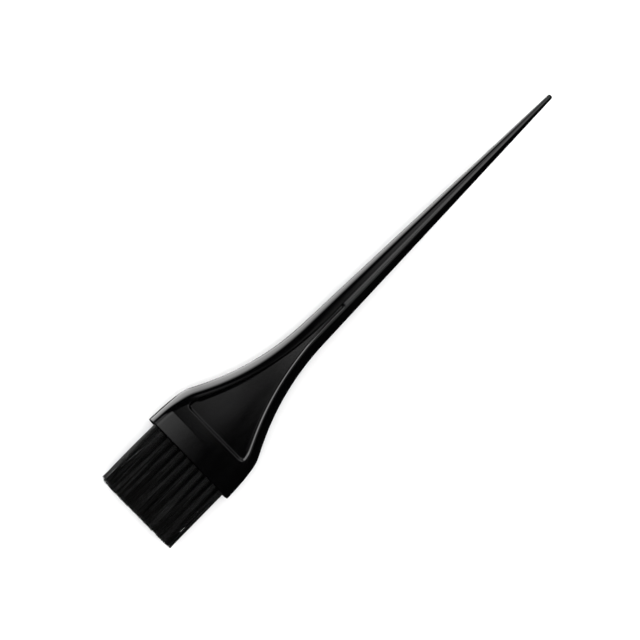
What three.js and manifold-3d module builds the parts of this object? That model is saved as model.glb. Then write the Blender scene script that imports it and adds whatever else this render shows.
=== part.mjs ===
// A hairdresser's tint brush. The handle is one moulding: a flat, flared head with a shallow
// panel sunk into each face, and a long pointed tail for sectioning hair. The head holds two
// staggered rows of bristle tufts. Each tuft is a bundle of filaments folded over a flat metal
// anchor, which grips the plastic on both sides of the tuft's hole.
//
// Millimetres. The brush lies flat on its back. +X points to the bristle tips, +Z comes out of
// the front face, and the origin is on the flat back of the head, on the centre line.

import * as THREE from "three";
import { mergeVertices, toCreasedNormals } from "three/addons/utils/BufferGeometryUtils.js";
import Module from "manifold-3d";

const wasm = await Module();
wasm.setup();

// ---- Driving dimensions ----

// Lengths along the handle are distances back from the mouth, the end face with the tuft holes.
const handleLength = 188.5;
const originBehindMouth = 10;
const mouthHalfWidth = 20;
const shoulder = { from: [8, 19.6], pull: [14.9, 19.3], to: [18, 17.85] };
const flarePulls = [[23.2, 15.4], [38.6, 6.2]];
const neckAt = 64;
const neckHalfWidth = 5.3;
const tipAt = 187.7;
const tipHalfWidth = 0.95;

const headHalfThickness = 4;
const mouthHalfThickness = 3.6;
const lipLength = 7.7; // the sloping band between the mouth and the flat of the head
const flatEndsAt = 45;
const panelTipHalfThickness = 3.3;
const thinningPulls = [[56, 4], [66, 3.62]]; // between the head's flat and the panel's tip
const tipHalfThickness = 0.7;
const mouthChamfer = 0.4;
const headEdgeRadius = 2.9;
const crownRadius = 5.6; // of the rounded rims beside the panel
const crownStartsAt = 5;
const crownEndsAt = 19;
const roundingStartsAt = 22; // from here the section turns into a full oval
const roundingEndsAt = 60;

const panelDepth = 0.8;
const panelWallRun = 0.95;
const panelFloorAt = 13.4;
const panelFloorHalfWidth = 13.9;
const panelTipAt = 78;
const panelCornerRadius = 1.8;
const panelTipHalfWidth = 0.15;
const panelSidePulls = [[19.5, 13.1], [36.5, -0.9]];

const frontTufts = 11;
const backTufts = 10;
const tuftPitch = 3.3;
const rowOffset = 1.6; // of each row from the handle's mid-plane
const holeRadius = 1.25;
const holeDepth = 6;

const tuftRootRadius = 1.1;
const tuftTipRadius = 1.48;
const tuftRootDepth = 5.6;
const freeLength = 26.8;
const tipRounding = 0.35;

const anchorThickness = 0.4;
const anchorHeight = 1.6; // along the hole
const anchorLength = 3;
const anchorDepth = 4.2; // of its centre, below the mouth
const clearance = 0.1;

// How finely curves are divided into straight steps.
const widthSteps = 18;
const thicknessSteps = 8;
const sectionCornerSteps = 6;
const panelSteps = 14;
const bevelSteps = 2;
const holeSides = 16;
const tuftSides = 14;
const tuftProfileSteps = 3;
const leastStationGap = 0.01;
const creaseAngle = Math.PI / 6; // edges that turn by less are shaded smooth

// ---- Materials ----

const handlePlastic = () =>
  new THREE.MeshStandardMaterial({ color: 0x0b0b0c, roughness: 0.28, metalness: 0 });
const bristleNylon = () =>
  new THREE.MeshStandardMaterial({ color: 0x121212, roughness: 0.55, metalness: 0 });
const anchorSteel = () =>
  new THREE.MeshStandardMaterial({ color: 0xb4b6b8, roughness: 0.35, metalness: 1 });

// ---- Solids and meshes ----

// A manifold-3d solid from a closed three.js geometry: shared corners are merged, and triangles
// that a pole or a pointed end has flattened to a line are dropped.
function solid(geometry) {
  const bare = geometry.clone();
  bare.deleteAttribute("normal");
  bare.deleteAttribute("uv");
  const merged = mergeVertices(bare);
  const corners = [];
  for (let i = 0; i < merged.index.count; i += 3) {
    const [a, b, c] = [0, 1, 2].map((k) => merged.index.getX(i + k));
    if (a !== b && b !== c && c !== a) corners.push(a, b, c);
  }
  const vertProperties = new Float32Array(merged.attributes.position.array);
  const triVerts = new Uint32Array(corners);
  return new wasm.Manifold(new wasm.Mesh({ numProp: 3, vertProperties, triVerts }));
}

// The named mesh of a solid, shaded smooth except across sharp edges.
function meshOf(name, body, material) {
  const { vertProperties, triVerts } = body.getMesh();
  const geometry = new THREE.BufferGeometry();
  geometry.setAttribute("position", new THREE.BufferAttribute(vertProperties, 3));
  geometry.setIndex(new THREE.BufferAttribute(triVerts, 1));
  const mesh = new THREE.Mesh(toCreasedNormals(geometry, creaseAngle), material);
  mesh.name = name;
  return mesh;
}

// The height of a polyline of (distance, height) points at one distance.
function heightAt(points, distance) {
  const next = Math.max(1, points.findIndex((p) => p.x >= distance));
  const [from, to] = [points[next - 1], points[next]];
  return THREE.MathUtils.mapLinear(distance, from.x, to.x, from.y, to.y);
}

// ---- Handle ----

// Half the handle's width, from the mouth to the tail's point.
function halfWidthLine() {
  const line = new THREE.Path();
  line.moveTo(0, mouthHalfWidth - mouthChamfer);
  line.lineTo(mouthChamfer, mouthHalfWidth);
  line.lineTo(...shoulder.from);
  line.quadraticCurveTo(...shoulder.pull, ...shoulder.to);
  line.bezierCurveTo(...flarePulls.flat(), neckAt, neckHalfWidth);
  line.lineTo(tipAt, tipHalfWidth);
  line.quadraticCurveTo(handleLength, tipHalfWidth, handleLength, 0);
  return line.getPoints(widthSteps);
}

// Half the handle's thickness, over the same length.
function halfThicknessLine() {
  const line = new THREE.Path();
  line.moveTo(0, mouthHalfThickness - mouthChamfer);
  line.lineTo(mouthChamfer, mouthHalfThickness);
  line.lineTo(lipLength, headHalfThickness);
  line.lineTo(flatEndsAt, headHalfThickness);
  line.bezierCurveTo(...thinningPulls.flat(), panelTipAt, panelTipHalfThickness);
  line.lineTo(tipAt, tipHalfThickness);
  line.quadraticCurveTo(handleLength, tipHalfThickness, handleLength, 0);
  return line.getPoints(thicknessSteps);
}

// The ring of points round the handle at one distance: a rectangle with oval corners. A corner
// deeper than the handle's half is cut off at the middle of the side, which leaves a blunt edge.
// On the tail the corners fill the whole section.
function ringAt(distance, halfWidth, halfThickness) {
  const { lerp, smoothstep } = THREE.MathUtils;
  const crown = smoothstep(distance, crownStartsAt, crownEndsAt);
  const fullness = smoothstep(distance, roundingStartsAt, roundingEndsAt);
  const radius = lerp(headEdgeRadius, crownRadius, crown);
  const cornerZ = lerp(radius, halfThickness, fullness);
  const sideAngle = Math.asin(Math.max(0, 1 - halfThickness / cornerZ));
  const cornerY = Math.min(radius, halfWidth / Math.cos(sideAngle));
  const flatHalfWidth = halfWidth - cornerY * Math.cos(sideAngle);
  const ring = [];
  for (let corner = 0; corner < 4; corner++) {
    const sideY = corner === 0 || corner === 3 ? 1 : -1;
    const sideZ = corner < 2 ? 1 : -1;
    for (let step = 0; step <= sectionCornerSteps; step++) {
      const share = step / sectionCornerSteps;
      const turned = corner % 2 === 0 ? share : 1 - share;
      const angle = lerp(sideAngle, Math.PI / 2, turned);
      ring.push([
        -distance,
        sideY * (flatHalfWidth + cornerY * Math.cos(angle)),
        sideZ * (halfThickness - cornerZ + cornerZ * Math.sin(angle)),
      ]);
    }
  }
  return ring;
}

// A closed skin through rings of equal length, with both ends capped.
function loft(rings) {
  const size = rings[0].length;
  const index = [];
  for (let r = 0; r + 1 < rings.length; r++) {
    for (let i = 0; i < size; i++) {
      const [a, b] = [r * size + i, r * size + ((i + 1) % size)];
      index.push(a, a + size, b, b, a + size, b + size);
    }
  }
  const last = (rings.length - 1) * size;
  for (let i = 1; i + 1 < size; i++) {
    index.push(0, i, i + 1, last, last + i + 1, last + i);
  }
  const geometry = new THREE.BufferGeometry();
  geometry.setAttribute("position", new THREE.Float32BufferAttribute(rings.flat(2), 3));
  geometry.setIndex(index);
  return geometry;
}

function handleBlank() {
  const widths = halfWidthLine();
  const thicknesses = halfThicknessLine();
  const distances = [...widths, ...thicknesses].map((point) => point.x).sort((a, b) => a - b);
  const stations = distances.filter((d, i) => i === 0 || d - distances[i - 1] > leastStationGap);
  const rings = stations.map((d) => ringAt(d, heightAt(widths, d), heightAt(thicknesses, d)));
  return solid(loft(rings));
}

// The sunk panel's floor: square to the head at its wide end, pointed towards the tail.
function panelFloor() {
  const side = new THREE.Path();
  side.moveTo(panelFloorAt, panelFloorHalfWidth - panelCornerRadius);
  side.quadraticCurveTo(
    panelFloorAt, panelFloorHalfWidth,
    panelFloorAt + panelCornerRadius, panelFloorHalfWidth - panelCornerRadius / 3,
  );
  side.bezierCurveTo(...panelSidePulls.flat(), panelTipAt, panelTipHalfWidth);
  const points = side.getPoints(panelSteps);
  const left = points.map((point) => new THREE.Vector2(-point.x, point.y));
  const right = points.map((point) => new THREE.Vector2(-point.x, -point.y));
  return new THREE.Shape([...left, ...right.reverse()]);
}

// The space above a panel's floor. Its walls lean outwards up to the face of the head, and its
// floor follows the face down as the neck thins.
function panelSpace() {
  const space = new THREE.ExtrudeGeometry(panelFloor(), {
    depth: headHalfThickness,
    bevelThickness: panelDepth,
    bevelSize: panelWallRun,
    bevelSegments: bevelSteps,
  });
  space.translate(0, 0, headHalfThickness);
  const thicknesses = halfThicknessLine();
  const corners = space.attributes.position;
  for (let i = 0; i < corners.count; i++) {
    const thinning = headHalfThickness - heightAt(thicknesses, -corners.getX(i));
    if (-corners.getX(i) > flatEndsAt) corners.setZ(i, corners.getZ(i) - thinning);
  }
  return solid(space);
}

function tuftHole() {
  const hole = new THREE.CylinderGeometry(holeRadius, holeRadius, 2 * holeDepth, holeSides);
  hole.rotateZ(Math.PI / 2);
  return solid(hole);
}

// A block the size of an anchor, with an allowance all round.
function anchorBlock(allowance) {
  const block = new THREE.BoxGeometry(
    anchorHeight + 2 * allowance,
    anchorThickness + 2 * allowance,
    anchorLength + 2 * allowance,
  );
  block.translate(-anchorDepth, 0, 0);
  return solid(block);
}

function handle(tufts) {
  const front = panelSpace();
  let body = handleBlank().subtract(front).subtract(front.mirror([0, 0, 1]));
  for (const { y, z } of tufts) {
    const socket = tuftHole().add(anchorBlock(clearance));
    body = body.subtract(socket.translate([0, y, z]));
  }
  return meshOf("handle", body, handlePlastic());
}

// ---- Tufts and anchors ----

// One bundle of filaments, rounded where it folds under its anchor, widening to its tips.
function tuftSolid() {
  const profile = new THREE.Path();
  profile.moveTo(0, -tuftRootDepth);
  profile.quadraticCurveTo(
    tuftRootRadius, -tuftRootDepth,
    tuftRootRadius, -tuftRootDepth + tuftRootRadius,
  );
  profile.lineTo(tuftRootRadius, 0);
  profile.lineTo(tuftTipRadius, freeLength - tipRounding);
  profile.lineTo(tuftTipRadius - tipRounding, freeLength);
  profile.lineTo(0, freeLength);
  const bundle = new THREE.LatheGeometry(profile.getPoints(tuftProfileSteps), tuftSides);
  bundle.rotateZ(-Math.PI / 2);
  return solid(bundle).subtract(anchorBlock(clearance));
}

function placed(mesh, { y, z }) {
  mesh.position.set(0, y, z);
  return mesh;
}

// The tufts of both rows: the back row's sit between the front row's.
function tuftPlaces() {
  const rows = [
    { row: "front", count: frontTufts, z: rowOffset },
    { row: "back", count: backTufts, z: -rowOffset },
  ];
  return rows.flatMap(({ row, count, z }) =>
    Array.from({ length: count }, (_, i) => ({
      name: `${row}_${String(i + 1).padStart(2, "0")}`,
      y: (i - (count - 1) / 2) * tuftPitch,
      z,
    })),
  );
}

function tintBrush() {
  const brush = new THREE.Group();
  brush.position.set(originBehindMouth, 0, headHalfThickness);
  const tufts = tuftPlaces();
  const bundle = tuftSolid();
  const plate = anchorBlock(0);
  brush.add(handle(tufts));
  for (const place of tufts) {
    brush.add(placed(meshOf(`tuft_${place.name}`, bundle, bristleNylon()), place));
    brush.add(placed(meshOf(`anchor_${place.name}`, plate, anchorSteel()), place));
  }
  return brush;
}

const group = new THREE.Group();
group.add(tintBrush());

export default group;
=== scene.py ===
"""The looks of a tint brush: a glossy black moulded handle with a sunk panel on each face of its
head, and two rows of bristle tufts made of single nylon filaments, each folded over its anchor.

The brush lies on its back. +X points to the bristle tips, +Y runs across the head and +Z comes
out of the front face. Shapes are worked out in millimetres, and the meshes are in metres.
"""

import math
import random

import bmesh
import bpy
import numpy as np
from mathutils import Matrix, Quaternion, Vector


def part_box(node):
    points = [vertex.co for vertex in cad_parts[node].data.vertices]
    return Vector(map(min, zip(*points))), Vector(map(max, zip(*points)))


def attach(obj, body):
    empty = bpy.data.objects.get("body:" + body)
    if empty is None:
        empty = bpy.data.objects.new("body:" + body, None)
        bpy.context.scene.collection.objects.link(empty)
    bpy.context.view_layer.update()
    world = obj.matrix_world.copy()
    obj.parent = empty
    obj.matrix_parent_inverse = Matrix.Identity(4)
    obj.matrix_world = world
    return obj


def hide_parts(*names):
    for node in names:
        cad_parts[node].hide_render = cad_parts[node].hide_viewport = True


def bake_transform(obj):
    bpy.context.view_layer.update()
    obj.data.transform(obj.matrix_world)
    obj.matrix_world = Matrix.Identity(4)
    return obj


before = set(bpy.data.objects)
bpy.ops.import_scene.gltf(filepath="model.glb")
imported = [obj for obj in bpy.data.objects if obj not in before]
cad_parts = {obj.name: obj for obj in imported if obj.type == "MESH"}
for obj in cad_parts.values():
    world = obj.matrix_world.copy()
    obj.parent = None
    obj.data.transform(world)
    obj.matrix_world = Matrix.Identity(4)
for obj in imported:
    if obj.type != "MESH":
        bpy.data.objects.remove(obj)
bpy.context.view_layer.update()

MM = 0.001
TINY = 1e-6  # keeps a divisor off zero

# ---- Places read from the frame, in millimetres ----


def box_mm(node):
    """A node's lowest and highest corners."""
    low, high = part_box(node)
    return np.array(low) / MM, np.array(high) / MM


HANDLE_LOW, HANDLE_HIGH = box_mm("handle")
MOUTH_X = HANDLE_HIGH[0]
MID_Z = HANDLE_HIGH[2] / 2
HANDLE_LENGTH = HANDLE_HIGH[0] - HANDLE_LOW[0]
TUFT_NODES = sorted(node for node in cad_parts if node.startswith("tuft_"))

# ---- The handle's dimensions ----

# Each pair is a distance back from the mouth and the half width or half thickness there, and a
# single AT, FROM or TO is such a distance. A curve bends towards its PULLS without touching them.
MOUTH_HALF_WIDTH = HANDLE_HIGH[1]
SHOULDER_FROM, SHOULDER_PULL, SHOULDER_TO = (8.0, 19.6), (14.9, 19.3), (18.0, 17.85)
FLARE_PULLS = (23.2, 15.4), (38.6, 6.2)
NECK_AT, NECK_HALF_WIDTH = 64.0, 5.3
TIP_AT, TIP_HALF_WIDTH = 187.7, 0.95

HEAD_HALF_THICKNESS = MID_Z
MOUTH_HALF_THICKNESS = 3.6
LIP_LENGTH = 7.7
FLAT_ENDS_AT = 45.0
PANEL_TIP_HALF_THICKNESS = 3.3
TIP_HALF_THICKNESS = 0.7
THINNING_PULLS = (56.0, HEAD_HALF_THICKNESS), (66.0, 3.62)
MOUTH_EDGE_RADIUS = 0.4
HEAD_EDGE_RADIUS = 2.9
CROWN_RADIUS = 5.6  # of the rounded rims beside the panel
CROWN_FROM, CROWN_TO = 5.0, 19.0
ROUNDING_FROM, ROUNDING_TO = 22.0, 60.0

PANEL_DEPTH = 0.8
PANEL_WALL_RUN = 0.95
PANEL_FLOOR_AT, PANEL_FLOOR_HALF_WIDTH = 13.4, 13.9
PANEL_PULLS = (19.5, 13.1), (36.5, -0.9)
PANEL_TIP_AT, PANEL_TIP_HALF_WIDTH = 78.0, 0.15
PANEL_CORNER_RADIUS = 1.8
PANEL_SIDE_START = (
    PANEL_FLOOR_AT + PANEL_CORNER_RADIUS,
    PANEL_FLOOR_HALF_WIDTH - PANEL_CORNER_RADIUS / 3,
)

PARTING_LINE_HEIGHT = 0.05
PARTING_LINE_HALF_WIDTH = 0.12

HOLE_RADIUS = 1.25
HOLE_DEPTH = 6.0
HOLE_SIDES = 32
HOLE_OVERCUT = 1.0  # how far past the mouth the hole's cutter reaches
ANCHOR_CLEARANCE = 0.1

# ---- The handle's mesh: the rings along it and the rows round each of them ----

MOUTH_STEP, LIP_STEP, LIP_EDGE_STEP = 0.06, 0.7, 0.1
FACE_STEP, PANEL_CORNER_STEP, PANEL_END_STEP, PANEL_TIP_STEP = 0.5, 0.05, 0.12, 0.2
TAIL_STEP, TAIL_TIP_STEP = 1.2, 0.08
LIP_EDGE_REACH = 0.5  # how far either side of the lip's edge the rings are close together
PANEL_END_REACH = (1.3, 2.2)  # the same before and after the wide end of the panel's floor
PANEL_TIP_REACH = (3, 2)  # and before and after its pointed end
TAIL_TIP_REACH = 1
LAST_RING_GAP = 0.02  # between the last ring and the tail's point

EDGE_STEPS, RIM_STEPS, WALL_STEPS, FLOOR_STEPS = 16, 5, 10, 12
RIM_FACE_SHARE = 0.15  # the least share of the rim, from the panel's wall out, in the face's rows
WALL_FOOT_SHARE = 0.7  # the wall's foot is at most this share of the way out to the side
WALL_TOP_SHARE = 0.5  # and its top at most this share of the way from its foot to the side
CREASE_DEGREES = 35

# ---- The bristles' dimensions ----

FILAMENTS_PER_TUFT = 36
FILAMENT_RADIUS = 0.1
FILAMENT_END_RADIUS = 0.055
FILAMENT_SIDES = 6
ROOT_RADIUS = 1.05  # of a bundle where it leaves its hole
TIP_RADIUS = 1.75
SPLAY_POWER = 1.2  # the higher it is, the further from its hole a bundle starts to spread
PULL_POWER = 1.6  # and this does the same for its lean
LEG_SHARES = (1, 0.985, 0.88, 0.74, 0.6, 0.46, 0.33, 0.21, 0.1, 0)
CLUMPS_PER_SIDE = 3
CLUMP_PULL = 0.5  # how far the tips of a clump lean by chance
TUFT_PULL = 0.26  # the same for a whole tuft
STRAY_PULL = 0.16  # and for a single filament
BOW = 0.2
TRIM_SPREAD = 0.13
SHORT_SHARE, SHORTEST_BY = 0.06, 1.6
END_ZONE = 3  # a tuft whose middle is this near the head's side is wholly an end tuft
END_ZONE_FADE = 4  # and over this much further in, tufts stop being one
END_TUFT_LEAN = 0.6  # how far the tips of the end tufts lean back in
CORNER_TUFT_CUT = 0.9  # how much shorter the tufts at the -Y end have worn
SEED = 7

# Beside its anchor a bundle is squeezed to these shares of its spread across and along it
HELD_ACROSS, HELD_ALONG = 0.55, 0.8
HELD_GAP = 0.05  # between the anchor and the nearest filament
SQUEEZE_FROM, SQUEEZE_TO = 0.6, -0.2  # measured up from the anchor's top
TWIST_START = (0, 0.3, 1)  # a direction that no filament starts in


# ---- Meshes ----


def mesh_piece(name, points_mm, faces):
    """A smooth shaded object in the scene, from points in millimetres."""
    mesh = bpy.data.meshes.new(name)
    mesh.from_pydata([tuple(p) for p in np.asarray(points_mm, float) * MM], [], faces)
    mesh.validate()
    mesh.shade_smooth()
    piece = bpy.data.objects.new(name, mesh)
    bpy.context.scene.collection.objects.link(piece)
    return piece


def mark_sharp_edges(mesh, degrees):
    """Shading stays smooth except across edges that turn by more than this."""
    work = bmesh.new()
    work.from_mesh(mesh)
    for edge in work.edges:
        if len(edge.link_faces) == 2:
            edge.smooth = edge.calc_face_angle() < math.radians(degrees)
    work.to_mesh(mesh)
    work.free()


def joined(parts):
    """The points and faces of several parts as one."""
    points, faces = [], []
    for some_points, some_faces in parts:
        faces += [tuple(i + len(points) for i in face) for face in some_faces]
        points += some_points
    return points, faces


# ---- Curves and steps ----


def smooth_step(share):
    """A share from 0 to 1, eased at both ends."""
    share = np.clip(share, 0, 1)
    return share * share * (3 - 2 * share)


def bezier(start, pulls, end, count=200):
    """Points along a cubic curve, as an array with a row for each."""
    t = np.linspace(0, 1, count)[:, None]
    start, first, second, end = (np.array(p, float) for p in (start, *pulls, end))
    return (
        (1 - t) ** 3 * start
        + 3 * (1 - t) ** 2 * t * first
        + 3 * (1 - t) * t * t * second
        + t**3 * end
    )


def arc(start, pull, end, count=40):
    """Points along a quadratic curve."""
    t = np.linspace(0, 1, count)[:, None]
    start, pull, end = (np.array(p, float) for p in (start, pull, end))
    return (1 - t) ** 2 * start + 2 * (1 - t) * t * pull + t**2 * end


def stretches(*runs):
    """Distances along the handle: each run is (from, to, largest step)."""
    parts = [np.linspace(a, b, math.ceil((b - a) / step) + 1)[:-1] for a, b, step in runs]
    return np.concatenate(parts + [[runs[-1][1]]])


# ---- The handle's outline ----

FLARE = bezier(SHOULDER_TO, FLARE_PULLS, (NECK_AT, NECK_HALF_WIDTH))
THINNING = bezier(
    (FLAT_ENDS_AT, HEAD_HALF_THICKNESS), THINNING_PULLS, (PANEL_TIP_AT, PANEL_TIP_HALF_THICKNESS)
)
PANEL_SIDE = bezier(PANEL_SIDE_START, PANEL_PULLS, (PANEL_TIP_AT, PANEL_TIP_HALF_WIDTH))


def mouth_inset(d):
    """How far the mouth's rounded edge draws the section in."""
    left = np.clip(MOUTH_EDGE_RADIUS - d, 0, MOUTH_EDGE_RADIUS)
    return MOUTH_EDGE_RADIUS - np.sqrt(MOUTH_EDGE_RADIUS**2 - left**2)


def tip_share(d):
    """1 along the tail, falling as a quarter circle to 0 at its point."""
    past = np.clip((d - TIP_AT) / (HANDLE_LENGTH - TIP_AT), 0, 1)
    return np.sqrt(1 - past**2)


def half_width(d):
    """Half the handle's width at a distance from the mouth."""
    shoulder = arc(SHOULDER_FROM, SHOULDER_PULL, SHOULDER_TO)
    line = np.vstack([[(0, MOUTH_HALF_WIDTH)], shoulder, FLARE, [(TIP_AT, TIP_HALF_WIDTH)]])
    return np.interp(d, line[:, 0], line[:, 1]) * tip_share(d) - mouth_inset(d)


def half_thickness(d):
    """Half the handle's thickness there, before the panel is sunk."""
    line = np.vstack([THINNING, [(TIP_AT, TIP_HALF_THICKNESS)]])
    lip_slope = (HEAD_HALF_THICKNESS - MOUTH_HALF_THICKNESS) / LIP_LENGTH
    down = lip_slope * np.clip(LIP_LENGTH - d, 0, None)
    return np.interp(d, line[:, 0], line[:, 1]) * tip_share(d) - mouth_inset(d) - down


def corner_sizes(d):
    """The half sizes of the oval that rounds the section's corners, and the angle at which the
    oval meets the middle of the side. A deep oval is cut off there, so the side comes to a blunt
    edge; a shallow one leaves an upright side. On the tail the ovals fill the whole section."""
    crown_share = smooth_step((d - CROWN_FROM) / (CROWN_TO - CROWN_FROM))
    radius = HEAD_EDGE_RADIUS + crown_share * (CROWN_RADIUS - HEAD_EDGE_RADIUS)
    share = smooth_step((d - ROUNDING_FROM) / (ROUNDING_TO - ROUNDING_FROM))
    thick = half_thickness(d)
    deep = radius + share * (thick - radius)
    deep = np.maximum(deep, TINY)
    side_angle = np.arcsin(np.clip((deep - thick) / deep, 0, 1))
    across = np.minimum(radius, half_width(d) / np.cos(side_angle))
    return across, deep, side_angle


def section_height(d, y):
    """The height of the front face above the handle's middle, before the panel is sunk."""
    across, deep, side_angle = corner_sizes(d)
    reach = across * np.cos(side_angle)
    past_flat = np.clip(np.abs(y) - (half_width(d) - reach), 0, reach)
    over = past_flat / np.maximum(across, TINY)
    return half_thickness(d) - deep + deep * np.sqrt(1 - over**2)


# ---- The sunk panel ----


def panel_half_width(d):
    """Half the width of the panel's floor, with its rounded wide corners."""
    rounding = arc(
        (PANEL_FLOOR_AT, PANEL_FLOOR_HALF_WIDTH - PANEL_CORNER_RADIUS),
        (PANEL_FLOOR_AT, PANEL_FLOOR_HALF_WIDTH),
        PANEL_SIDE_START,
    )
    line = np.vstack([rounding, PANEL_SIDE])
    return np.interp(d, line[:, 0], line[:, 1])


def panel_outline():
    """The floor's closed outline as (distance, y) points."""
    d = stretches(
        (PANEL_FLOOR_AT, PANEL_FLOOR_AT + PANEL_CORNER_RADIUS, PANEL_CORNER_STEP),
        (PANEL_FLOOR_AT + PANEL_CORNER_RADIUS, PANEL_TIP_AT, FACE_STEP),
    )
    side = np.column_stack([d, panel_half_width(d)])
    other = side[::-1] * (1, -1)
    return np.vstack([side, other, side[:1]])


def distance_outside(points, outline, batch=2000):
    """Each point's distance from a closed outline, for points outside it; 0 for points inside.
    The points are taken in batches, which saves memory."""
    start, run = outline[:-1], np.diff(outline, axis=0)
    length2 = np.maximum((run**2).sum(1), TINY)
    nearest = np.empty(len(points))
    for first in range(0, len(points), batch):
        some = points[first : first + batch, None]
        along = np.clip(((some - start) * run).sum(2) / length2, 0, 1)
        gap = some - (start + along[..., None] * run)
        nearest[first : first + batch] = np.sqrt((gap**2).sum(2).min(1))
    d, y = points.T
    inside = (
        (d >= PANEL_FLOOR_AT) & (d <= PANEL_TIP_AT) & (np.abs(y) <= panel_half_width(d))
    )
    return np.where(inside, 0, nearest)


def sunk_height(d, y):
    """The front face's height with the panel sunk into it."""
    face = section_height(d, y)
    near = (d > PANEL_FLOOR_AT - PANEL_WALL_RUN) & (d < PANEL_TIP_AT + PANEL_WALL_RUN)
    sunk = np.zeros(len(d))
    points = np.column_stack([d[near], y[near]])
    sunk[near] = 1 - smooth_step(distance_outside(points, panel_outline()) / PANEL_WALL_RUN)
    floor = np.minimum(half_thickness(d) - PANEL_DEPTH, face)
    return face + sunk * (floor - face)


# ---- The handle's mesh ----


def handle_stations():
    """The distances of the rings, closer together where the surface turns quickly."""
    lip_edge = LIP_LENGTH - LIP_EDGE_REACH, LIP_LENGTH + LIP_EDGE_REACH
    panel_end = PANEL_FLOOR_AT - PANEL_END_REACH[0], PANEL_FLOOR_AT + PANEL_END_REACH[1]
    panel_tip = PANEL_TIP_AT - PANEL_TIP_REACH[0], PANEL_TIP_AT + PANEL_TIP_REACH[1]
    tail_tip = TIP_AT - TAIL_TIP_REACH, HANDLE_LENGTH - LAST_RING_GAP
    return stretches(
        (0, MOUTH_EDGE_RADIUS, MOUTH_STEP),
        (MOUTH_EDGE_RADIUS, lip_edge[0], LIP_STEP),
        (*lip_edge, LIP_EDGE_STEP),
        (lip_edge[1], panel_end[0], FACE_STEP),
        (*panel_end, PANEL_END_STEP),
        (panel_end[1], panel_tip[0], FACE_STEP),
        (*panel_tip, PANEL_TIP_STEP),
        (panel_tip[1], tail_tip[0], TAIL_STEP),
        (*tail_tip, TAIL_TIP_STEP),
    )


def edge_quarter(d):
    """A quarter of the section's outside, from the middle of the side to the edge of the flat
    face: rows of (y, height), spaced evenly, with the parting line standing proud of the side."""
    wide, thick = half_width(d), half_thickness(d)
    across, deep, side_angle = corner_sizes(d)
    flat_edge = wide - across * math.cos(side_angle)
    face_edge = max(flat_edge, wall_top(d) + RIM_FACE_SHARE * (wide - wall_top(d)))
    corner_end = math.acos(min(1.0, max(0.0, (face_edge - flat_edge) / across)))
    side = max(0.0, thick - deep)
    length = side + (corner_end - side_angle) * (across + deep) / 2
    line_end = PARTING_LINE_HALF_WIDTH * thick / HEAD_HALF_THICKNESS / length
    shares = np.concatenate([[0, line_end / 2], np.linspace(line_end, 1, EDGE_STEPS)])
    turned = np.clip((shares * length - side) / max(length - side, TINY), 0, 1)
    angle = side_angle + (corner_end - side_angle) * turned
    y = flat_edge + across * np.cos(angle)
    z = np.where(shares * length < side, shares * length, thick - deep + deep * np.sin(angle))
    proud = np.clip(1 - shares / line_end, 0, 1)
    y += PARTING_LINE_HEIGHT * (thick / HEAD_HALF_THICKNESS) * proud
    return np.column_stack([y, z])


def wall_foot(d):
    """Where the panel's wall starts, and beyond the panel a line that carries on from it."""
    return float(np.minimum(panel_half_width(d), WALL_FOOT_SHARE * half_width(d)))


def wall_top(d):
    """Where the wall ends, on the rim."""
    foot = wall_foot(d)
    return min(foot + PANEL_WALL_RUN, foot + WALL_TOP_SHARE * (float(half_width(d)) - foot))


def face_quarter(d, edge_y):
    """The y of the face's rows, from the edge quarter's end to the centre line."""
    top, foot = wall_top(d), wall_foot(d)
    return np.concatenate(
        [
            np.linspace(edge_y, top, RIM_STEPS + 1)[1:],
            np.linspace(top, foot, WALL_STEPS + 1)[1:],
            np.linspace(foot, 0, FLOOR_STEPS + 1)[1:],
        ]
    )


def handle_points():
    """The handle's rings as an array [station, place round the ring, (x, y, z)]."""
    stations = handle_stations()
    quarters = []
    for d in stations:
        edge = edge_quarter(d)
        face = face_quarter(d, edge[-1, 0])
        quarters.append(np.vstack([edge, np.column_stack([face, np.full(len(face), np.nan)])]))
    quarters = np.array(quarters)
    d = np.repeat(stations[:, None], quarters.shape[1], 1)
    unset = np.isnan(quarters[..., 1])
    quarters[..., 1][unset] = sunk_height(d[unset], quarters[..., 0][unset])
    front = np.concatenate([quarters, (quarters * (-1, 1))[:, -2::-1]], axis=1)
    back = (front * (1, -1))[:, -2:0:-1]
    ring = np.concatenate([front, back], axis=1)
    x = MOUTH_X - np.repeat(stations[:, None], ring.shape[1], 1)
    return np.dstack([x, ring[..., 0], MID_Z + ring[..., 1]])


def handle_skin():
    """The handle as one closed skin, before its holes are cut."""
    rings = handle_points()
    count, size = rings.shape[:2]
    tip = (MOUTH_X - HANDLE_LENGTH, 0, MID_Z)
    points = np.vstack([rings.reshape(-1, 3), [tip]])
    faces = [tuple(range(size))]
    for r in range(count - 1):
        for i in range(size):
            j = (i + 1) % size
            a, b = r * size + i, r * size + j
            faces.append((b, a, a + size, b + size))
    last = (count - 1) * size
    for i in range(size):
        faces.append((last + (i + 1) % size, last + i, len(points) - 1))
    return mesh_piece("handle_moulding", points, faces)


def prism(outline_yz, x_from, x_to):
    """The points and faces of a prism along X over an outline."""
    size = len(outline_yz)
    points = [(x, y, z) for x in (x_from, x_to) for y, z in outline_yz]
    faces = [tuple(range(size))[::-1], tuple(range(size, 2 * size))]
    faces += [(i, (i + 1) % size, size + (i + 1) % size, size + i) for i in range(size)]
    return points, faces


def cut(piece, name, prisms):
    """Cuts prisms, which don't touch each other, out of a piece."""
    cutter = mesh_piece(name, *joined(prisms))
    modifier = piece.modifiers.new(name, "BOOLEAN")
    modifier.object = cutter
    modifier.solver = "MANIFOLD"
    evaluated = piece.evaluated_get(bpy.context.evaluated_depsgraph_get())
    cut_mesh = bpy.data.meshes.new_from_object(evaluated)
    piece.modifiers.clear()
    piece.data = cut_mesh
    bpy.data.objects.remove(cutter)


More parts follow.
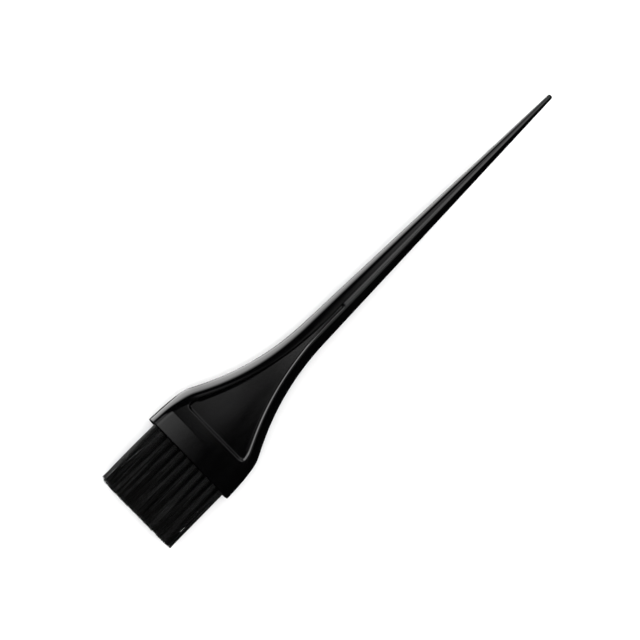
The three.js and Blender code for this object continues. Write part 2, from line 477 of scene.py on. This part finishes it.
def tuft_hole(node):
    """The prism that leaves a tuft's hole."""
    low, high = box_mm(node)
    centre_y, centre_z = (low[1] + high[1]) / 2, (low[2] + high[2]) / 2
    angles = np.linspace(0, 2 * math.pi, HOLE_SIDES, endpoint=False)
    outline = [
        (centre_y + HOLE_RADIUS * math.cos(a), centre_z + HOLE_RADIUS * math.sin(a))
        for a in angles
    ]
    return prism(outline, MOUTH_X - HOLE_DEPTH, MOUTH_X + HOLE_OVERCUT)


def anchor_seat(node):
    """The prism that leaves room for the anchor of a tuft."""
    low, high = box_mm(node.replace("tuft_", "anchor_"))
    low, high = low - ANCHOR_CLEARANCE, high + ANCHOR_CLEARANCE
    outline = [(low[1], low[2]), (high[1], low[2]), (high[1], high[2]), (low[1], high[2])]
    return prism(outline, low[0], high[0])


def make_handle():
    """The handle with its holes, standing for the CAD handle."""
    handle = handle_skin()
    cut(handle, "tuft_holes", [tuft_hole(node) for node in TUFT_NODES])
    cut(handle, "anchor_seats", [anchor_seat(node) for node in TUFT_NODES])
    handle.data.shade_smooth()
    mark_sharp_edges(handle.data, CREASE_DEGREES)
    handle.data.materials.clear()
    handle.data.materials.append(handle_plastic())
    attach(handle, "handle")
    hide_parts("handle")


# ---- Bristles ----


def tube(path, radii, sides):
    """The points and faces of a closed tube along a path, with sides that don't twist."""
    path = np.asarray(path, float)
    tangents = np.gradient(path, axis=0)
    tangents /= np.linalg.norm(tangents, axis=1)[:, None]
    side = np.cross(tangents[0], TWIST_START)
    points = []
    angles = np.linspace(0, 2 * math.pi, sides, endpoint=False)
    for place, tangent, radius in zip(path, tangents, radii):
        side = side - (side @ tangent) * tangent
        side /= np.linalg.norm(side)
        up = np.cross(tangent, side)
        points += [place + radius * (math.cos(a) * side + math.sin(a) * up) for a in angles]
    faces = [tuple(range(sides))[::-1]]
    for r in range(len(path) - 1):
        for i in range(sides):
            a, b = r * sides + i, r * sides + (i + 1) % sides
            faces.append((a, b, b + sides, a + sides))
    last = (len(path) - 1) * sides
    faces.append(tuple(range(last, last + sides)))
    return points, faces


def bundle_places():
    """Places (y, z) spread evenly over a tuft's hole, as those on each side of its anchor."""
    golden = math.pi * (3 - math.sqrt(5))
    count = 2 * FILAMENTS_PER_TUFT
    places = []
    for i in range(2 * count):
        radius = ROOT_RADIUS * math.sqrt((i + 0.5) / count)
        places.append(np.array([radius * math.cos(i * golden), radius * math.sin(i * golden)]))
    return [[p for p in places if side * p[0] > 0][:FILAMENTS_PER_TUFT] for side in (1, -1)]


def clump_of(place):
    """Which of its side's clumps a filament belongs to, from low to high."""
    share = (place[1] / ROOT_RADIUS + 1) / 2
    return min(CLUMPS_PER_SIDE - 1, max(0, int(share * CLUMPS_PER_SIDE)))


def end_share(y):
    """How much a tuft at this y is an end tuft: 1 beside the head's side, and 0 further in."""
    return smooth_step(1 - (MOUTH_HALF_WIDTH - abs(y) - END_ZONE) / END_ZONE_FADE)


def random_offset(rng, size):
    """A chance shift in y and z."""
    return np.array([rng.gauss(0, size), rng.gauss(0, size)])


def leg_path(place, pull, length, bow):
    """One leg of a filament from its tip down to the mouth, as (x, y, z) from the hole's centre."""
    path = []
    for share in LEG_SHARES:
        spread = 1 + (TIP_RADIUS / ROOT_RADIUS - 1) * share**SPLAY_POWER
        y, z = place * spread + pull * share**PULL_POWER + bow * math.sin(math.pi * share) * share
        path.append((share * length, y, z))
    return path


def fold_path(near, far, anchor):
    """The filament's bend round the anchor's foot, between the last points of its two legs."""
    half_span = (near[1] - far[1]) / 2
    middle = (near[1] + far[1]) / 2
    bend = []
    for angle in (math.pi / 4, math.pi / 2, 3 * math.pi / 4):
        share = (1 - math.cos(angle)) / 2
        x = anchor["foot"] - half_span * math.sin(angle)
        bend.append((x, middle + half_span * math.cos(angle), near[2] + share * (far[2] - near[2])))
    return bend


def held_leg(side, place, anchor):
    """The part of a leg inside the hole, squeezed in beside the anchor."""
    clear = anchor["half_thickness"] + FILAMENT_RADIUS + HELD_GAP
    beside = clear + HELD_ACROSS * abs(place[0])
    height = HELD_ALONG * place[1]
    halfway = side * (beside + abs(place[0])) / 2, (height + place[1]) / 2
    return [
        (anchor["top"] + SQUEEZE_FROM, *halfway),
        (anchor["top"] + SQUEEZE_TO, side * beside, height),
        (anchor["foot"], side * beside, height),
    ]


def filament_path(places, pulls, anchor, length, rng):
    """A filament from tip to tip, folded round its anchor."""
    legs = []
    for side, place, clumps in zip((1, -1), places, pulls):
        pull = clumps[clump_of(place)] + random_offset(rng, STRAY_PULL)
        leg_length = length + rng.gauss(0, TRIM_SPREAD)
        if rng.random() < SHORT_SHARE:
            leg_length -= rng.uniform(0, SHORTEST_BY)
        leg = leg_path(place, pull, leg_length, random_offset(rng, BOW))
        legs.append(leg + held_leg(side, place, anchor))
    near, far = legs
    return near + fold_path(near[-1], far[-1], anchor) + far[::-1]


def anchor_measures(node):
    """The sizes of a tuft's anchor, with its top and foot measured from the mouth."""
    low, high = box_mm(node.replace("tuft_", "anchor_"))
    return {
        "top": high[0] - MOUTH_X,
        "foot": low[0] - MOUTH_X,
        "half_thickness": (high[1] - low[1]) / 2,
    }


def tuft_pulls(rng, at_end, y):
    """How far the tips of each clump of a tuft lean, for the two sides of its anchor."""
    lean = np.array([-math.copysign(END_TUFT_LEAN * at_end, y), 0])
    shared = lean + random_offset(rng, TUFT_PULL)
    return [
        [shared + random_offset(rng, CLUMP_PULL) for _ in range(CLUMPS_PER_SIDE)]
        for _ in ("near", "far")
    ]


def tuft_mesh(node, rng):
    """The points and faces of a tuft's filaments."""
    low, high = box_mm(node)
    centre = np.array([MOUTH_X, (low[1] + high[1]) / 2, (low[2] + high[2]) / 2])
    at_end = end_share(centre[1])
    worn_off = CORNER_TUFT_CUT * at_end if centre[1] < 0 else 0
    length = high[0] - MOUTH_X - worn_off
    anchor = anchor_measures(node)
    near, far = bundle_places()
    rng.shuffle(far)
    pulls = tuft_pulls(rng, at_end, centre[1])
    filaments = []
    for places in zip(near, far):
        path = filament_path(places, pulls, anchor, length, rng)
        radii = np.full(len(path), FILAMENT_RADIUS)
        radii[0] = radii[-1] = FILAMENT_END_RADIUS
        filaments.append(tube(np.array(path) + centre, radii, FILAMENT_SIDES))
    return joined(filaments)


def make_tuft(node, rng, nylon):
    """A tuft of filaments, standing for the CAD tuft."""
    tuft = mesh_piece(node.replace("tuft_", "bristles_"), *tuft_mesh(node, rng))
    tuft.data.materials.append(nylon)
    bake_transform(tuft)
    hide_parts(node)


def make_bristles():
    """All the tufts, each different but the same on every run."""
    rng = random.Random(SEED)
    nylon = bristle_nylon()
    for node in TUFT_NODES:
        make_tuft(node, rng, nylon)


def finish_anchors():
    """The anchors keep the meshes of the CAD model and get their steel."""
    steel = anchor_steel()
    for node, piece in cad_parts.items():
        if node.startswith("anchor_"):
            piece.data.materials.clear()
            piece.data.materials.append(steel)


# ---- Materials ----


def new_material(name):
    """A material with its node tree and its shader."""
    material = bpy.data.materials.new(name)
    material.use_nodes = True
    tree = material.node_tree
    shader = tree.nodes["Principled BSDF"]
    return material, tree, shader


def noise(tree, scale, stretch=(1, 1, 1), detail=3):
    """A noise over the piece's own coordinates, its scale in grains per metre."""
    place = tree.nodes.new("ShaderNodeTexCoord")
    grid = tree.nodes.new("ShaderNodeMapping")
    grid.inputs["Scale"].default_value = stretch
    tree.links.new(place.outputs["Object"], grid.inputs["Vector"])
    texture = tree.nodes.new("ShaderNodeTexNoise")
    texture.inputs["Scale"].default_value = scale
    texture.inputs["Detail"].default_value = detail
    tree.links.new(grid.outputs["Vector"], texture.inputs["Vector"])
    return texture.outputs["Fac"]


def ramp(tree, value, value_range, low, high, kind="LINEAR"):
    """Maps a value's range onto numbers from low to high."""
    node = tree.nodes.new("ShaderNodeMapRange")
    node.interpolation_type = kind
    node.inputs["From Min"].default_value = value_range[0]
    node.inputs["From Max"].default_value = value_range[1]
    node.inputs["To Min"].default_value = low
    node.inputs["To Max"].default_value = high
    tree.links.new(value, node.inputs["Value"])
    return node.outputs["Result"]


def arithmetic(tree, operation, *values):
    """One operation on the outputs of other nodes and plain numbers."""
    node = tree.nodes.new("ShaderNodeMath")
    node.operation = operation
    for place, value in zip(node.inputs, values):
        if isinstance(value, bpy.types.NodeSocket):
            tree.links.new(value, place)
        else:
            place.default_value = value
    return node.outputs[0]


def colour_mix(tree, factor, low, high):
    """A colour between low and high."""
    node = tree.nodes.new("ShaderNodeMix")
    node.data_type = "RGBA"
    node.inputs["A"].default_value = (*low, 1)
    node.inputs["B"].default_value = (*high, 1)
    tree.links.new(factor, node.inputs["Factor"])
    return node.outputs["Result"]


def bump(tree, shader, height, depth):
    """Raises the surface by the height, whose whole range is this deep in metres."""
    node = tree.nodes.new("ShaderNodeBump")
    node.inputs["Strength"].default_value = 1
    node.inputs["Distance"].default_value = depth
    tree.links.new(height, node.inputs["Height"])
    tree.links.new(node.outputs["Normal"], shader.inputs["Normal"])


def handle_plastic():
    """Black moulded plastic with the slow waviness of a cooled face and a faint moulding grain."""
    material, tree, shader = new_material("handle_plastic")
    shader.inputs["IOR"].default_value = 1.5
    cloud = noise(tree, scale=120)
    colour = colour_mix(tree, cloud, low=(0.0002, 0.0002, 0.0003), high=(0.0005, 0.0005, 0.0006))
    tree.links.new(colour, shader.inputs["Base Color"])
    wear = noise(tree, scale=350, stretch=(0.25, 1, 1), detail=5)
    roughness = ramp(tree, wear, (0.3, 0.75), low=0.05, high=0.11)
    tree.links.new(roughness, shader.inputs["Roughness"])
    bump(tree, shader, noise(tree, scale=900, detail=2), depth=1.5e-6)
    return material


def bristle_nylon():
    """Black nylon drawn into filaments, no two of them quite as dark or as smooth."""
    material, tree, shader = new_material("bristle_nylon")
    shader.inputs["Specular IOR Level"].default_value = 0.45
    each = tree.nodes.new("ShaderNodeNewGeometry").outputs["Random Per Island"]
    colour = colour_mix(tree, each, low=(0.0001, 0.0001, 0.0001), high=(0.0004, 0.0004, 0.0003))
    tree.links.new(colour, shader.inputs["Base Color"])
    streak = noise(tree, scale=1500, stretch=(0.1, 1, 1), detail=2)
    both = arithmetic(tree, "ADD", streak, each)
    roughness = ramp(tree, both, (0.3, 1.7), low=0.28, high=0.42)
    tree.links.new(roughness, shader.inputs["Roughness"])
    bump(tree, shader, streak, depth=4e-6)
    return material


def anchor_steel():
    """Flat drawn steel wire, with fine lines along the way it was drawn."""
    material, tree, shader = new_material("anchor_steel")
    shader.inputs["Metallic"].default_value = 1
    lines = noise(tree, scale=6000, stretch=(1, 1, 0.03))
    colour = colour_mix(tree, lines, low=(0.5, 0.51, 0.53), high=(0.72, 0.73, 0.73))
    tree.links.new(colour, shader.inputs["Base Color"])
    roughness = ramp(tree, lines, (0.3, 0.7), low=0.25, high=0.45)
    tree.links.new(roughness, shader.inputs["Roughness"])
    bump(tree, shader, lines, depth=5e-6)
    return material


# ---- Stage, in metres apart from the camera's target and lens ----

UP, DOWN = Vector((0, 0, 1)), Vector((0, 0, -1))
ACROSS, ALONG = (0, 1, 0), (1, 0, 0)
VIEW_UP = Vector((-1, -1, 0)).normalized()  # the way that is up in the camera's view
CAMERA_TILT = math.radians(-12)
CAMERA_ROLL = math.radians(0.6)
CAMERA_TARGET = (-59.1, -1.8, 4.0)
CAMERA_DISTANCE = 1.0
CAMERA_LENS = 156.25
CAMERA_CLIPS = 0.05, 20

FLOOR_HALF_SIZE = 8.0
FLOOR_SHADE = 0.9
WORLD_LIGHT = 1.75
WORLD_IN_PLASTIC = 0.012  # how bright the world is in reflections
LAMP_HEIGHT = 0.4


def make_floor():
    """A plain pale floor that the plastic doesn't reflect."""
    half = FLOOR_HALF_SIZE
    mesh = bpy.data.meshes.new("floor")
    mesh.from_pydata(
        [(-half, -half, 0), (half, -half, 0), (half, half, 0), (-half, half, 0)], [], [(0, 1, 2, 3)]
    )
    floor = bpy.data.objects.new("floor", mesh)
    bpy.context.scene.collection.objects.link(floor)
    material, _, shader = new_material("floor")
    shader.inputs["Base Color"].default_value = (FLOOR_SHADE, FLOOR_SHADE, FLOOR_SHADE, 1)
    shader.inputs["Roughness"].default_value = 0.9
    shader.inputs["Specular IOR Level"].default_value = 0
    mesh.materials.append(material)
    floor.visible_glossy = False


def make_camera():
    """A long lens above the brush that looks nearly straight down, with the tail up and right."""
    camera = bpy.data.objects.new("camera", bpy.data.cameras.new("camera"))
    bpy.context.scene.collection.objects.link(camera)
    back = Quaternion(VIEW_UP, CAMERA_TILT) @ UP
    up = Quaternion(back, CAMERA_ROLL) @ VIEW_UP
    turn = Matrix((up.cross(back), up, back)).transposed()
    target = Vector(CAMERA_TARGET) * MM
    camera.matrix_world = Matrix.Translation(target + back * CAMERA_DISTANCE) @ turn.to_4x4()
    camera.data.lens = CAMERA_LENS
    camera.data.clip_start, camera.data.clip_end = CAMERA_CLIPS
    bpy.context.scene.camera = camera


def make_world():
    """Even light for the floor, which is nearly black where the plastic reflects it."""
    world = bpy.data.worlds.new("studio")
    bpy.context.scene.world = world
    world.use_nodes = True
    tree = world.node_tree
    tree.nodes.clear()
    out = tree.nodes.new("ShaderNodeOutputWorld")
    background = tree.nodes.new("ShaderNodeBackground")
    is_glossy = tree.nodes.new("ShaderNodeLightPath").outputs["Is Glossy Ray"]
    colour = colour_mix(tree, is_glossy, low=(WORLD_LIGHT,) * 3, high=(WORLD_IN_PLASTIC,) * 3)
    tree.links.new(colour, background.inputs["Color"])
    tree.links.new(background.outputs["Background"], out.inputs["Surface"])


def lamp_material(name, radiance, softness):
    """Light that is even in the middle of a panel 2 wide and fades out towards its edges."""
    material = bpy.data.materials.new(name)
    material.use_nodes = True
    tree = material.node_tree
    tree.nodes.clear()
    place = tree.nodes.new("ShaderNodeTexCoord")
    split = tree.nodes.new("ShaderNodeSeparateXYZ")
    tree.links.new(place.outputs["Object"], split.inputs[0])
    strength = radiance
    for axis, soft_share in zip("XY", softness):
        off_centre = arithmetic(tree, "ABSOLUTE", split.outputs[axis])
        fade = ramp(tree, off_centre, (1, 1 - soft_share), low=0, high=1, kind="SMOOTHSTEP")
        strength = arithmetic(tree, "MULTIPLY", fade, strength)
    emission = tree.nodes.new("ShaderNodeEmission")
    tree.links.new(strength, emission.inputs["Strength"])
    out = tree.nodes.new("ShaderNodeOutputMaterial")
    tree.links.new(emission.outputs[0], out.inputs["Surface"])
    return material


def soft_panel(name, centre, size, top, face, radiance, softness):
    """A rectangular lamp that fades out towards its edges. Its size is across and along its top
    direction, and softness is the share of each half size over which it fades."""
    top, face = Vector(top), Vector(face)
    turn = Matrix((top.cross(face), top, face)).transposed().to_4x4()
    mesh = bpy.data.meshes.new(name)
    mesh.from_pydata([(-1, -1, 0), (1, -1, 0), (1, 1, 0), (-1, 1, 0)], [], [(0, 1, 2, 3)])
    mesh.materials.append(lamp_material(name, radiance, softness))
    panel = bpy.data.objects.new(name, mesh)
    bpy.context.scene.collection.objects.link(panel)
    scale = Matrix.Diagonal((size[0] / 2, size[1] / 2, 1, 1))
    panel.matrix_world = Matrix.Translation(Vector(centre)) @ turn @ scale
    panel.visible_camera = False
    panel.visible_shadow = False
    return panel


def hang_panel(name, centre, size, radiance, softness, top=ACROSS):
    """A panel that hangs over the brush, facing down."""
    soft_panel(name, (*centre, LAMP_HEIGHT), size, top, DOWN, radiance, softness)


def view_place(right, up):
    """A place measured to the right and up as the camera sees them, as (x, y)."""
    return (VIEW_UP.cross(UP) * right + VIEW_UP * up).xy


def make_lamps():
    """The hanging, side and end panels are what the plastic mirrors. The fill lights the floor
    and doesn't show in the plastic, and the panel beyond shows in it without lighting the floor.
    In brackets are each panel's centre, size and softness."""
    hang_panel("over_tail", view_place(0.192, 0.147), (0.215, 0.394), 2.2, (0.62, 0.34), VIEW_UP)
    hang_panel("beside_tail", (-0.185, -0.09), (0.15, 0.20), 0.7, (0.7, 0.7))
    hang_panel("over_neck", (-0.163, 0.185), (0.136, 0.25), 0.6, (0.65, 0.6))
    hang_panel("over_tip", (-0.30, -0.15), (0.32, 0.30), 1.6, (0.85, 0.7))
    hang_panel("over_panel", (-0.085, 0.042), (0.13, 0.048), 0.5, (0.6, 0.5))
    hang_panel("over_lip", (0.03, -0.003), (0.10, 0.13), 1.5, (0.55, 0.6))
    hang_panel("over_mouth", (0.035, -0.20), (0.09, 0.28), 0.9, (0.3, 0.3))
    soft_panel("side", (-0.08, -0.50, -0.2), (1.0, 1.1), UP, ACROSS, 5.4, (0.6, 0.6))
    soft_panel("end", (-0.75, -0.10, 0.0), (0.5, 1.3), UP, ALONG, 1.0, (0.5, 0.5))
    fill = soft_panel("fill", (-0.08, -0.70, 0.35), (1.4, 0.7), UP, ACROSS, 5.0, (0.5, 0.5))
    fill.visible_glossy = False
    inwards = Vector((-0.72, 0.66, 0)).normalized()
    beyond = soft_panel("beyond", (0.72, -0.66, 0.27), (0.9, 0.5), UP, inwards, 0.9, (0.6, 0.6))
    beyond.visible_diffuse = False


# ---- The whole scene ----

make_handle()
make_bristles()
finish_anchors()
make_floor()
make_camera()
make_world()
make_lamps()
bpy.context.scene.view_settings.view_transform = "Standard"
